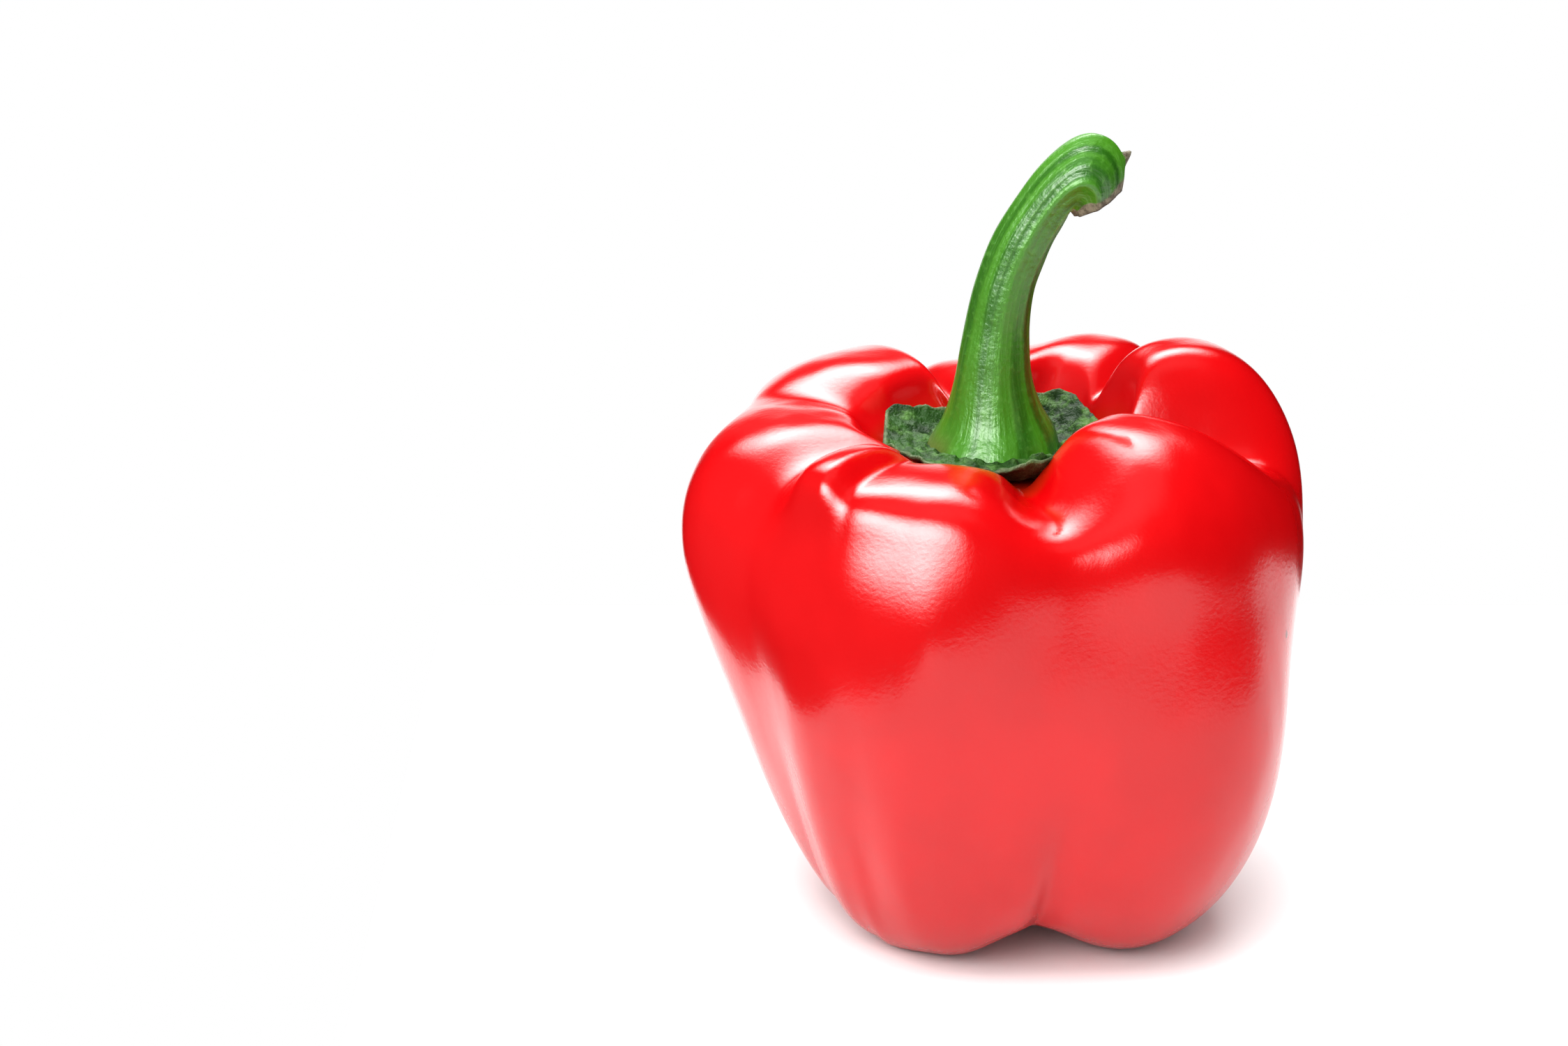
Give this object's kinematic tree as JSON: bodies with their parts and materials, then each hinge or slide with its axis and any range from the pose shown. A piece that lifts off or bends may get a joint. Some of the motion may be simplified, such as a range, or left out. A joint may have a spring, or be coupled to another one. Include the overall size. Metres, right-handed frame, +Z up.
{
  "type": "bell pepper",
  "caption": "Fresh red bell pepper with rounded lobes, a wrinkled green calyx sunk in its crown and a curved, ribbed green stem, standing upright on its lobes.",
  "frame": {"origin": "on the ground, under the middle of the box of the whole pepper, stem included", "axes": "+Z up along the fruit's axis towards the stem, -Y towards the front, where the wide lobe and the deepest crease show, +X to the right, where the stem leans"},
  "size_m": [0.0892, 0.0814, 0.1147],
  "materials": {
    "skin": "smooth, waxy, glossy red skin",
    "calyx": "wrinkled, satin, dark bluish green with a pale edge",
    "stem": "fine-grained satin green with lengthwise ribs and a dry brown cut end"
  },
  "bodies": {
    "root": {"fruit": "skin", "calyx": "calyx", "stem": "stem"}
  },
  "joints": []
}
